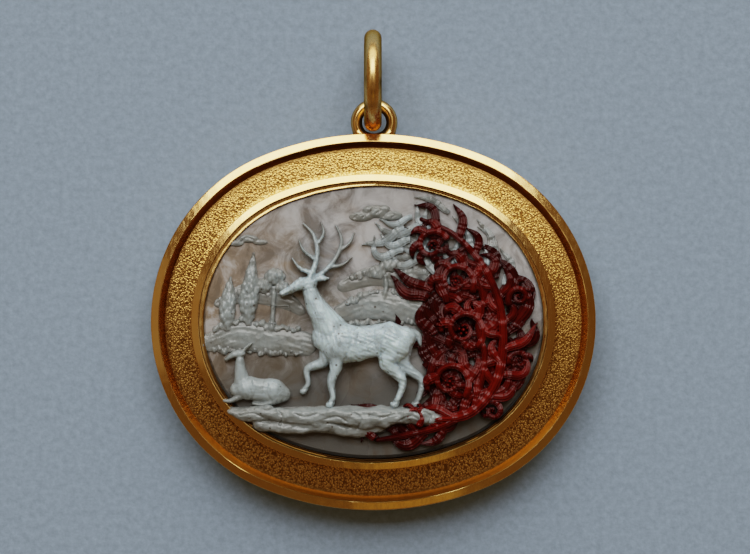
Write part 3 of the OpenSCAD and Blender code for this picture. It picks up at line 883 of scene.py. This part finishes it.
stagForm = {
    "limbs": [
        [(3.5, -1.9, 2.5, 1.5), (2.3, -2.1, 3.2, 2.2), (0.2, -2.2, 2.85, 1.9), (-2, -2.5, 3.2, 2.1),
         (-4.1, -2.4, 3.3, 2.4), (-5.5, -1.8, 2.8, 1.7)],
        [(-4.5, -1.4, 2.9, 2), (-5.8, 0.5, 3, 1.55), (-6.9, 2.4, 2.85, 1.1), (-7.5, 4.1, 2.75, 0.8)],
        [(-7.3, 4.5, 2.65, 0.8), (-8.4, 4.4, 2.55, 0.75), (-9.6, 3.8, 2.3, 0.5), (-10.6, 3.3, 2.05, 0.4)],
        [(4.4, -1, 1.5, 0.35), (5.2, -1.6, 1.4, 0.45), (5.5, -2.7, 1.1, 0.2)],
        [(-4.4, -2.8, 3.1, 1.5), (-4.3, -4.9, 2.6, 0.85), (-4.9, -7, 2.3, 0.5), (-4.7, -8.9, 2.1, 0.36),
         (-5.1, -9.7, 2.1, 0.5)],
        [(-5.2, -3.2, 2.3, 1.2), (-5.9, -4.7, 1.8, 0.7), (-7.7, -5.5, 1.5, 0.46), (-7.6, -7.2, 1.3, 0.34),
         (-8.2, -8.1, 1.3, 0.42)],
        [(2.6, -2.8, 3.3, 1.8), (1.8, -4.8, 2.8, 1.15), (3.4, -6.8, 2.3, 0.55), (2.9, -8.9, 2.1, 0.38),
         (2.4, -9.7, 2.1, 0.5)],
        [(3.3, -3, 2.2, 1.3), (3.6, -5, 1.7, 0.85), (5.6, -6.8, 1.4, 0.5), (5.3, -8.9, 1.3, 0.36),
         (4.8, -9.7, 1.3, 0.46)],
        [(-7, 4.8, 2.2, 0.2), (-6.2, 5.1, 2.3, 0.4), (-5.2, 5.1, 2, 0.12)],
    ],
    "antlers": [
        [(-7.5, 5, 2.5, 0.36), (-6.8, 6.6, 2.1, 0.32), (-6.5, 8.3, 1.8, 0.3), (-7, 10.2, 1.4, 0.24),
         (-8.2, 11.5, 1.1, 0.13)],
        [(-7.2, 5.7, 2.2, 0.26), (-8.6, 6.3, 1.9, 0.22), (-9.5, 7.5, 1.4, 0.1)],
        [(-6.7, 7.3, 1.9, 0.26), (-8.1, 8.3, 1.5, 0.2), (-8.7, 9.6, 1.2, 0.1)],
        [(-6.6, 9, 1.6, 0.24), (-5.8, 10.3, 1.4, 0.2), (-6.1, 11.7, 1.1, 0.1)],
        [(-7.1, 5, 1.8, 0.34), (-5.5, 6.1, 1.6, 0.3), (-4.2, 7.8, 1.2, 0.28), (-3.7, 9.6, 1, 0.22),
         (-4.4, 11.3, 0.8, 0.12)],
        [(-5.2, 6.4, 1.4, 0.24), (-3.6, 6.7, 1.2, 0.2), (-2.5, 7.6, 0.8, 0.1)],
        [(-4, 8.3, 1.1, 0.24), (-2.8, 9.2, 1, 0.18), (-2.2, 10.5, 0.8, 0.1)],
    ],
    # jaw, mouth, ear, shoulder, ribs, flank, haunch, knees and hooves
    "grooves": [
        [(-6.9, 4), (-7.9, 3.75), (-9.2, 3.35)], [(-10.75, 3.05), (-10.2, 3.2), (-9.7, 3.45)],
        [(-6.7, 4.95), (-6.1, 5.12), (-5.5, 5.15)],
        [(-3, -0.4), (-2.5, -2.2), (-3.2, -4.1), (-3.6, -5.2)], [(-5.9, -3.6), (-5.3, -4.6), (-5.1, -5.9)],
        [(-1.7, -1.2), (-1.9, -2.6), (-1.6, -3.8)], [(-0.8, -1), (-0.9, -2.4), (-0.6, -3.6)],
        [(0.1, -0.9), (0.1, -2.2), (0.4, -3.3)], [(1.3, -0.9), (0.9, -2.4), (0.8, -3.9), (1, -4.9)],
        [(-5.35, -9.25), (-4.9, -9.3), (-4.4, -9.25)], [(2.1, -9.25), (2.6, -9.3), (3.2, -9.25)],
        [(4.6, -9.25), (5, -9.3), (5.5, -9.25)], [(-8.4, -7.75), (-7.9, -7.8), (-7.4, -7.7)],
    ],
    # cheek, brow, eye, nostril, shoulder, haunch, knees: x, y, radius, height
    "dabs": [
        (-7.75, 4.25, 0.6, 0.16), (-8.3, 5.05, 0.35, 0.12), (-8.35, 4.72, 0.24, -0.22),
        (-8.35, 4.72, 0.13, 0.2), (-10.5, 3.5, 0.13, -0.14), (-4.3, -2.2, 1.3, 0.2), (3, -2.4, 1.3, 0.2),
        (-4.8, -6.7, 0.4, 0.12), (3.3, -6.5, 0.45, 0.12), (-1.2, -2.4, 1.2, -0.2), (-2, 0.1, 0.8, -0.14),
        (0.6, -1.2, 0.7, 0.1), (-5, -1, 0.8, 0.16), (-3.6, -3.4, 0.6, 0.14), (2.4, -4.2, 0.7, 0.14),
        (4, -1.4, 0.6, 0.12), (1.5, -3.6, 0.5, -0.14), (-6.6, 1, 0.5, 0.1), (-7.6, 3.2, 0.4, -0.08),
        (-9.3, 4.1, 0.4, 0.08),
    ],
    "mane": [[(-7.3, 3.6), (-6.6, 1.8), (-5.6, -0.2), (-5, -2.4)], [(-7.9, 3.4), (-7.6, 1.6), (-6.9, -0.4)],
             [(-6.4, 3.8), (-5.2, 1.6), (-3.8, -0.2), (-2.4, -0.8)]],
    "coat": [[(-3.4, -0.9), (-1, -1.2), (2, -1), (4, -1.2)], [(-3.2, -3), (-0.6, -3.2), (1.2, -3)],
             [(2.6, -1.6), (2.4, -3.6), (1.9, -5)], [(-4.2, -3.2), (-4.3, -5.2)],
             [(4.5, -1.1), (5.3, -1.7), (5.6, -2.8)]],
}


def makeStag():
    bm = grow(bmesh.new(), stagForm["limbs"])
    bm = fuse(grow(bm, stagForm["antlers"], section=arch(12, crown=2.0, foot=2.5)))
    engrave(bm, stagForm["grooves"], width=0.13, depth=0.1)
    dab(bm, stagForm["dabs"])
    comb(bm, stagForm["mane"], spacing=0.26, length=1.3, depth=0.11, floorZ=1.3)
    comb(bm, stagForm["coat"], spacing=0.3, length=1.1, depth=0.04, floorZ=1.3)
    engrave(bm, stagForm["antlers"], width=0.1, depth=0.04)
    finishStone(bm, "stag", agateWhite("agateWhite", low=0.3, high=2.4))


makeStag()
print("stag carved")

doeForm = {
    "limbs": [
        [(-15.9, -7.9, 1.4, 0.9), (-14.9, -7.7, 1.8, 1.4), (-13.2, -7.9, 1.7, 1.3), (-11.6, -8, 1.8, 1.4),
         (-10.6, -8.4, 1.4, 1)],
        [(-15.3, -7, 1.5, 1), (-15.5, -5.6, 1.5, 0.7), (-15.6, -4.3, 1.4, 0.5)],
        [(-15.4, -3.7, 1.4, 0.5), (-16.2, -3.8, 1.3, 0.44), (-17.2, -4.4, 1, 0.24)],
        [(-15.3, -3.5, 1.1, 0.14), (-14.7, -2.9, 1.1, 0.26), (-14.1, -2.4, 0.9, 0.08)],
        [(-15.4, -8.6, 1.3, 0.45), (-16.6, -9.2, 1.2, 0.3), (-17.4, -9.2, 1, 0.24)],
        [(-11.2, -8.8, 1.5, 0.8), (-12.6, -9.6, 1.3, 0.34), (-14, -9.5, 1.2, 0.26)],
    ],
    "grooves": [
        [(-15.1, -4), (-15.8, -4.15), (-16.6, -4.5)], [(-14.9, -3.2), (-14.5, -2.8)],
        [(-14, -6.9), (-13.7, -8), (-14.2, -9)], [(-12.3, -7.1), (-12.4, -8.2), (-11.9, -9.2)],
    ],
    "dabs": [(-16, -3.62, 0.16, -0.12), (-16, -3.62, 0.09, 0.12), (-14.8, -7.9, 0.8, 0.1),
             (-11.4, -8.2, 0.8, 0.12), (-13.2, -7.9, 0.8, -0.08)],
    "coat": [[(-15.4, -4.6), (-15.4, -6.4), (-14.9, -7.8)], [(-14.6, -7.4), (-12.8, -7.5), (-11, -8)],
             [(-14.2, -8.6), (-12.4, -8.7)]],
}


def makeDoe():
    bm = fuse(grow(bmesh.new(), doeForm["limbs"]))
    engrave(bm, doeForm["grooves"], width=0.12, depth=0.08)
    dab(bm, doeForm["dabs"])
    comb(bm, doeForm["coat"], spacing=0.26, length=0.8, depth=0.045, floorZ=0.5)
    finishStone(bm, "doe", agateWhite("agateDoe", low=0.2, high=1.9, strength=0.5))


makeDoe()

ledgeForm = {
    "limbs": [
        [(-16.6, -10.4, 1, 0.5), (-14.4, -10.8, 1.6, 0.9), (-11.6, -10.7, 1.9, 0.8),
         (-8.2, -11.1, 2.2, 1.15), (-4.6, -10.8, 2.4, 0.95), (-0.8, -11.2, 2.5, 1.3), (2.8, -10.8, 2.3, 1),
         (6.4, -11.1, 2, 1), (8.6, -11, 1.5, 0.6)],
        [(-13.6, -12, 1.2, 0.6), (-10, -12.3, 1.5, 0.8), (-6, -12.2, 1.8, 0.7), (-2.4, -12.7, 1.5, 0.8),
         (1, -12.4, 1.3, 0.6)],
    ],
    "rocks": [(-12.4, -10, 1, 0.6, 1.9), (-6.6, -11.9, 1.2, 0.8, 2.1), (1, -11.8, 1.2, 0.8, 2.2)],
    "cracks": [
        [(-15.6, -10.9), (-14.2, -10.6), (-12.9, -11.1)], [(-11.2, -10.2), (-10.6, -11), (-10.9, -12)],
        [(-9.2, -10.6), (-7.9, -11), (-6.4, -10.6)], [(-5.6, -11.3), (-4.2, -11), (-3.1, -11.6)],
        [(-2.3, -10.5), (-1.4, -11.2), (-1.8, -12.4)], [(-0.4, -10.8), (1, -11.1), (2.4, -10.7)],
        [(3.2, -11.4), (4.4, -10.9), (5.2, -11.3)], [(6, -10.4), (6.7, -11), (6.4, -11.8)],
    ],
}


def makeLedge():
    bm = fuse(grow(bmesh.new(), ledgeForm["limbs"], ledgeForm["rocks"]))
    roughen(bm, size=1.1, depth=0.28, floorZ=0.3, stretch=(1.5, 0.8, 1.0))
    roughen(bm, size=0.5, depth=0.1, floorZ=0.3, stretch=(1.4, 0.8, 1.0), scallop=True)
    engrave(bm, ledgeForm["cracks"], width=0.12, depth=0.16)
    finishStone(bm, "ledge", agateWhite("agateLedge", low=0.3, high=2.2, strength=0.2, texture=0.08))


makeLedge()

landForm = {
    "hills": [
        [(-19, -2.4, 0.3, 1.2), (-15.5, -1.6, 0.55, 1.8), (-11.6, -2.2, 0.5, 1.7), (-8, -2.6, 0.35, 1.5)],
        [(-3.6, 1, 0.3, 1.2), (-0.4, 2, 0.55, 1.7), (3.4, 1.6, 0.55, 1.8), (7.4, 0.8, 0.35, 1.6)],
        [(-18, 2.2, 0.14, 0.7), (-14.5, 3.4, 0.22, 1.3), (-10.5, 2.6, 0.2, 1.2), (-8.6, 1.4, 0.14, 0.8)],
        [(-3.4, 4.2, 0.14, 0.9), (0.2, 5.4, 0.22, 1.3), (4.2, 4.6, 0.2, 1.2), (7, 3.6, 0.14, 0.8)],
    ],
    # rows of small trees: start, end, number, size, height; how their widths and places vary, as an
    # amount and the radians from one tree to the next
    "unequal": (0.3, 7), "drift": (0.22, 2.6),
    "copses": [((-18.4, -0.9), (-15.4, 0.2), 6, 0.42, 0.62), ((-13.6, -0.3), (-8.8, -1), 9, 0.42, 0.6),
               ((-17.4, 3), (-9.6, 3.6), 15, 0.34, 0.34), ((-3, 2.2), (0.6, 3.6), 8, 0.4, 0.6),
               ((2.4, 3.5), (6.6, 2.4), 9, 0.42, 0.6), ((-2.6, 5.1), (3.2, 6.6), 12, 0.32, 0.34),
               ((-18.6, -3.2), (-8.4, -3.7), 18, 0.36, 0.5), ((-2.6, -0.2), (4.6, 0.1), 12, 0.34, 0.5)],
    "cypresses": [
        [(-17, -0.8, 0.7, 0.4), (-17.1, 1, 0.9, 1), (-16.9, 3, 0.8, 0.8), (-16.7, 5.2, 0.3, 0.15)],
        [(-14.6, -0.2, 0.7, 0.4), (-14.6, 2.2, 1, 1.15), (-14.3, 5, 0.9, 0.85), (-14, 8, 0.3, 0.15)],
    ],
    "trunks": [
        [(-11.9, -0.8, 0.7, 0.36), (-11.7, 1.4, 0.6, 0.28), (-11.6, 4, 0.6, 0.3)],
        [(1.2, 2.6, 0.6, 0.32), (1.5, 4, 0.55, 0.26), (1.4, 5.4, 0.5, 0.26)],
        [(4.2, 2.4, 0.6, 0.3), (4, 3.6, 0.55, 0.24), (4.3, 4.8, 0.5, 0.24)],
    ],
    "crowns": [(-12.9, 4.2, 1.1, 0.9, 0.7), (-11.5, 5.3, 1.3, 1, 0.8), (-10.6, 4, 0.9, 0.8, 0.7),
               (0.4, 5.8, 1.2, 0.9, 0.6), (1.9, 6.6, 1.3, 0.9, 0.7), (4.2, 5.4, 1.4, 1.1, 0.6)],
    "clouds": [(-1.4, 12.3, 1.5, 0.6, 0.4), (0.4, 12.9, 1.3, 0.8, 0.5), (2, 12.4, 1.5, 0.6, 0.4),
               (-16, 9.2, 0.9, 0.4, 0.3), (-14.6, 9.7, 1.2, 0.5, 0.35), (-13.2, 9.3, 0.9, 0.36, 0.26),
               (-0.4, 13.1, 0.9, 0.55, 0.5), (1.2, 13.2, 0.8, 0.5, 0.45),
               (3.8, 9.6, 1, 0.4, 0.25), (2.6, 9.9, 0.8, 0.4, 0.28)],
    "curls": [[(-2.2, 12.2), (-1.6, 12.7), (-1, 12.5), (-1.2, 12.2)],
              [(-0.5, 12.8), (0.1, 13.4), (0.8, 13.1), (0.4, 12.7)],
              [(1.2, 12.3), (1.8, 12.8), (2.5, 12.5), (2.2, 12.2)],
              [(-15.4, 9.4), (-14.8, 9.9), (-14.1, 9.6)]],
    "grass": [[(-18.5, -2.6), (-15.5, -1.4), (-11.6, -2), (-8.4, -2.6)],
              [(-3.2, 0.9), (-0.4, 2.2), (3.4, 1.8), (7, 0.9)]],
}


def makeLand():
    hills = grow(bmesh.new(), landForm["hills"], section=arch(18, crown=2.0, foot=5.0))
    hills = fuse(grow(hills, landForm["trunks"]))
    comb(hills, landForm["grass"], spacing=0.35, length=1.6, depth=0.07, floorZ=0.1)
    trees = grow(bmesh.new(), landForm["cypresses"], landForm["crowns"])
    (unequal, widthStep), (drift, driftStep) = landForm["unequal"], landForm["drift"]
    for start, end, number, size, top in landForm["copses"]:
        for k in range(number):
            x, y = [a + (b - a) * k / (number - 1) for a, b in zip(start, end)]
            wide = size * (1 + unequal * math.sin(widthStep * k))
            addClump(trees, x, y + drift * math.sin(driftStep * k), wide, wide * 1.1, top)
    trees = fuse(trees)
    roughen(trees, size=0.55, depth=0.3, floorZ=0.05, stretch=(0.8, 1.5, 1.0), scallop=True)
    clouds = fuse(grow(bmesh.new(), clumps=landForm["clouds"]))
    roughen(clouds, size=0.9, depth=0.12, floorZ=0.05, stretch=(1.3, 0.8, 1.0))
    engrave(clouds, landForm["curls"], width=0.12, depth=0.14)
    for bm in (trees, clouds):
        gather(hills, bm)
    finishStone(hills, "landscape", agateWhite("agateThin", low=0.0, high=1.2, strength=0.35, texture=0.1))


makeLand()
print("landscape carved")

vineForm = {
    "stems": [
        [(7.2, -11.4, 2, 0.5), (11.2, -10.6, 2.5, 0.62), (14.2, -7.2, 2.6, 0.6), (15.1, -2.4, 2.5, 0.55),
         (14.6, 2.4, 2.2, 0.5), (12.6, 6.8, 1.7, 0.44), (9.4, 10.2, 1.4, 0.36), (5.6, 12, 1, 0.25)],
        [(10.8, -10.6, 2.3, 0.55), (7.6, -12.2, 1.8, 0.5), (3.8, -13.2, 1.4, 0.42),
         (0.4, -13.8, 1.1, 0.25)],
        [(11.6, -10.2, 2.2, 0.4), (12.4, -7.6, 2.3, 0.4), (13, -4, 2.2, 0.38), (12.2, -0.6, 2, 0.34),
         (12.8, 3, 1.8, 0.3), (11.4, 6.4, 1.4, 0.2)],
    ],
    # centre x, centre y, radius, start angle, signed turn in degrees, height of its middle
    "scrolls": [(8.9, -6.9, 2.5, -42, 520, 1), (10.5, -0.9, 2.6, -48, 520, 1.1),
                (9.6, 4.8, 2.3, -30, 500, 0.7), (6.8, 8.9, 2, 28, 480, 0.5),
                (17, 2.9, 1.4, 215, -460, 0.5), (17, -4.5, 1.35, 190, -430, 0.6),
                (13.9, -10.4, 1.3, 120, -420, 0.6), (4.6, -11, 1.2, -50, 400, 1.2)],
    "coil": {"steps": 56, "core": 0.16, "tighten": 0.8, "width": 0.42, "narrow": 0.5, "rise": 1.3,
             "riseFall": 0.25, "middleFall": 0.3},
    "berries": {"size": 0.13, "top": 1, "number": 5, "away": 1.5, "sideSize": 0.85, "sideTop": 0.8},
    # a leaf's fall towards its tip, and its half width as the sine of an angle and the turn along it
    "frond": {"steps": 18, "fall": 0.42, "foot": 42, "turn": 133},
    # nearest that a leaf comes to the outer oval
    "edgeInset": 6.35,
    # leaves: ranges of each one's angle, length, curl, sway, share of the stem's height and half width,
    # angles in degrees; on the scrolls length comes first, and lengths are shares of the radius
    "stemLeaves": {"spacing": (1.15, 1.15, 1.61), "taper": 0.35,
                   "ranges": [(22, 48), (4.4, 6.8), (0, 90), (18, 46), (0.72, 1.02), (0.55, 0.8)]},
    "scrollLeaves": {"number": 7, "smallNumber": 6, "smallRadius": 1.6, "first": 0.6, "span": 0.74,
                     "taper": 0.3, "ranges": [(1, 1.5), (20, 45), (30, 120), (10, 34), (0.7, 0.98),
                                              (0.24, 0.32)]},
    # leaves laid low behind the stems, in rows from below: ranges of the shifts, angle, length, curl, sway
    # and height from which they are white, then of top and half width; the left edge as (y, x)
    "lowLeaves": {"spacing": 1.6, "rows": (-14, 13.5), "rowGap": 0.866, "right": 20.5,
                  "left": [(-14, -1), (-12.5, 2.2), (-10, 4.6), (-8, 5.2), (-4, 6.6), (0, 7), (4, 6.4),
                           (6, 6.2), (8, 4), (12, 3.5)],
                  "ranges": [(-0.3, 0.3), (-0.3, 0.3), (0, 45), (4.2, 6.6), (-20, 80), (12, 46),
                             (3.5, 7.5)],
                  "edgeMiddle": 12, "edgeSlope": 0.35, "whiteReach": 5.5,
                  "red": [(0.7, 1.5), (0.6, 0.85)], "white": [(0.3, 0.9), (0.4, 0.6)]},
}
chance = random.Random(11)


def draw(ranges):
    return [low + (high - low) * chance.random() for low, high in ranges]


def frond(x, y, angle, length, curl, sway, top, halfWidth):
    # rows of a long leaf that sways one way and then curls the other
    form, rows = vineForm["frond"], []
    for k in range(form["steps"] + 1):
        f = k / form["steps"]
        half = halfWidth * math.sin(math.radians(form["foot"] + form["turn"] * f))
        rows.append([x, y, top * (1 - form["fall"] * f * f), half])
        turn = math.radians(angle + curl * f * f + sway * math.sin(2 * math.pi * f))
        x += length / form["steps"] * math.cos(turn)
        y += length / form["steps"] * math.sin(turn)
    return rows


def addFrond(target, *shape):
    rows = frond(*shape)
    if all(insetAt(row[0], row[1]) > vineForm["edgeInset"] + row[3] for row in rows):
        addLimb(target, rows, 1, fluted, ends=False)


def scrollPath(x, y, radius, start, turn, middle):
    coil, path = vineForm["coil"], []
    for k in range(coil["steps"] + 1):
        f = k / coil["steps"]
        r = radius * (1 - (1 - coil["core"]) * f ** coil["tighten"])
        angle = math.radians(start + turn * f)
        top = middle * (1 - coil["middleFall"] * f) + coil["rise"] * (1 - coil["riseFall"] * f)
        path.append([x + r * math.cos(angle), y + r * math.sin(angle), top,
                     coil["width"] * (1 - coil["narrow"] * f)])
    return path


def makeVineStems():
    bm = bmesh.new()
    leaf = vineForm["stemLeaves"]
    for rows, spacing in zip(vineForm["stems"], leaf["spacing"]):
        addLimb(bm, rows, 10, fluted)
        gone, side = 0.0, 1
        path = smoothRows(rows, 10)
        for i in range(1, len(path) - 1):
            gone += math.dist(path[i][:2], path[i - 1][:2])
            if gone < spacing:
                continue
            gone, side = 0.0, -side
            share = 1 - leaf["taper"] * i / len(path)
            x, y, stemTop, _ = path[i]
            angle, length, curl, sway, top, half = draw(leaf["ranges"])
            addFrond(bm, x, y, angleOf(headingAt(path, i)) + side * angle, length * share, -side * curl,
                     side * sway, stemTop * top, half * share)
    finishStone(bm, "vineStem", redAgate, cut=False)


def makeVineScrolls():
    bm = bmesh.new()
    leaf, berry = vineForm["scrollLeaves"], vineForm["berries"]
    for scroll in vineForm["scrolls"]:
        x, y, radius, start, turn, middle = scroll
        path = scrollPath(*scroll)
        addLimb(bm, path, 1, fluted)
        hand = math.copysign(1, turn)
        number = leaf["number"] if radius > leaf["smallRadius"] else leaf["smallNumber"]
        for k in range(number):
            i = round((k + leaf["first"]) / number * leaf["span"] * (len(path) - 1))
            share = 1 - leaf["taper"] * k / number
            length, angle, curl, sway, top, half = draw(leaf["ranges"])
            addFrond(bm, *path[i][:2], angleOf(headingAt(path, i)) - hand * angle, radius * length * share,
                     hand * curl, -hand * sway, path[i][2] * top, half * radius * share)
        # berries in the scroll's eye
        eye = radius * berry["size"]
        addClump(bm, x, y, eye, eye, middle + berry["top"])
        for k in range(berry["number"]):
            angle = math.radians(360 / berry["number"] * k + start)
            away, half = eye * berry["away"], eye * berry["sideSize"]
            addClump(bm, x + away * math.cos(angle), y + away * math.sin(angle), half, half,
                     middle + berry["sideTop"])
    finishStone(bm, "vineScrolls", redAgate, cut=False)


def makeVineLeaves():
    # leaves lying low between the stems and scrolls, red below and left white towards the top
    red, white = bmesh.new(), bmesh.new()
    tree = treeOf(stemPoints)
    leaf = vineForm["lowLeaves"]
    spacing = leaf["spacing"]
    leftY, leftX = zip(*leaf["left"])
    (y, last), row = leaf["rows"], 0
    while y < last:
        x = float(np.interp(y, leftY, leftX)) + (0.5 * spacing if row % 2 else 0)
        while x < leaf["right"]:
            shiftX, shiftY, angle, length, curl, sway, edge = draw(leaf["ranges"])
            cx, cy = x + shiftX * spacing, y + shiftY * spacing
            x += spacing
            place, i, away = tree.find(Vector((cx, cy, 0)))
            along = stemPoints[i][1]
            side = 1 if along.x * (cy - place.y) - along.y * (cx - place.x) > 0 else -1
            shape = (cx, cy, angleOf(along) + side * angle, length, -side * curl, side * sway)
            if cy + leaf["edgeSlope"] * abs(cx - leaf["edgeMiddle"]) < edge:
                addFrond(red, *shape, *draw(leaf["red"]))
            elif away < leaf["whiteReach"]:
                addFrond(white, *shape, *draw(leaf["white"]))
        y += leaf["rowGap"] * spacing
        row += 1
    finishStone(red, "vineLeaves", redAgate, cut=False)
    finishStone(white, "vinePale", agateWhite("agatePale", low=0.1, high=1.1, strength=0.8), cut=False)


redAgate = agateRed(0.12, 2.62)
stemPoints = sampled([[row[:2] for row in rows] for rows in vineForm["stems"]])
makeVineStems()
makeVineScrolls()
makeVineLeaves()
print("vine carved")
